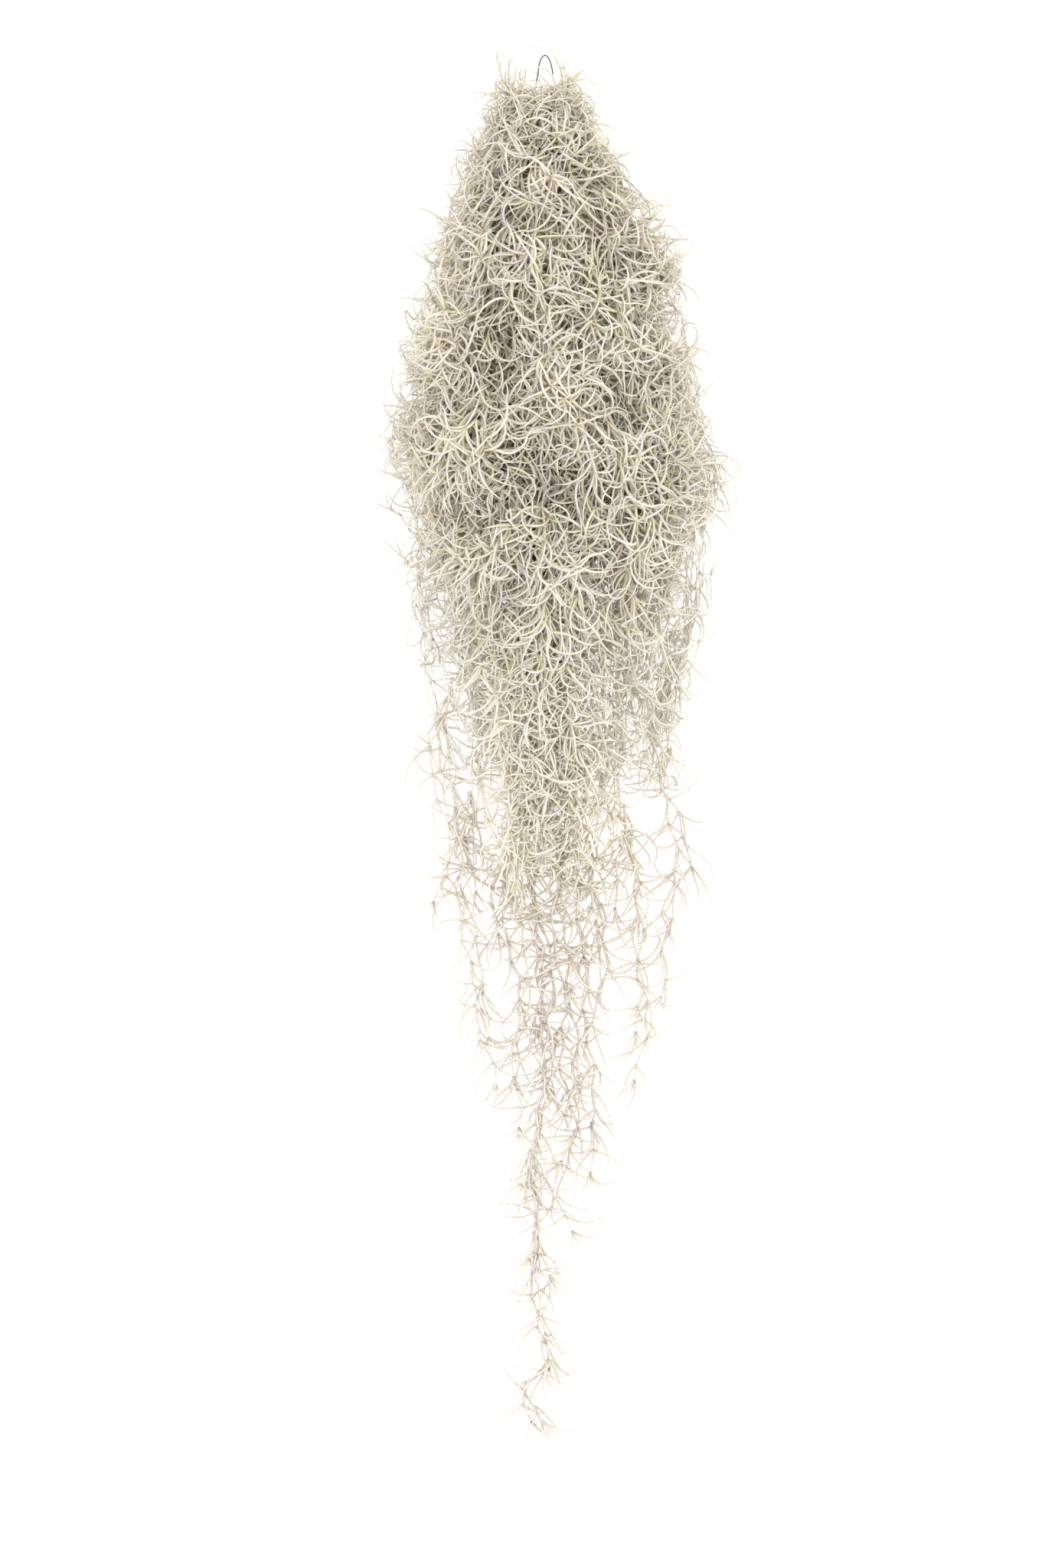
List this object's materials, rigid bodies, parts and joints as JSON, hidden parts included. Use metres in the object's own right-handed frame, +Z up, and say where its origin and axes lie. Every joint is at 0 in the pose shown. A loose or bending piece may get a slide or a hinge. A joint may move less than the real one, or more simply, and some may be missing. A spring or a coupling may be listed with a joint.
{
  "type": "spanish moss bunch",
  "caption": "Hanging bunch of Spanish moss laid on a surface: a dense tangle of curled silvery leaves, tied with wire, trailing off in single strands.",
  "frame": {"origin": "middle of the flat underside that the bunch rests on, below its weight", "axes": "+Z up from the surface, +Y along the bunch towards the tied head and its wire eye, +X to the right seen from above with the head away from the viewer"},
  "size_m": [0.2633, 1.012, 0.1475],
  "materials": {
    "moss": "matte silvery scales on a dry grey-green leaf",
    "trailing_moss": "matte silvery scales, paler and drier than the mass",
    "wire": "dull dark grey"
  },
  "bodies": {
    "root": {"moss_mass": "moss", "trailing_strand_far_left": "trailing_moss", "trailing_strand_left": "trailing_moss", "trailing_strand_inner_left": "trailing_moss", "trailing_strand_longest": "trailing_moss", "trailing_strand_middle": "trailing_moss", "trailing_strand_inner_right": "trailing_moss", "trailing_strand_right": "trailing_moss", "trailing_strand_outer_right": "trailing_moss", "hanging_wire": "wire"}
  },
  "joints": []
}
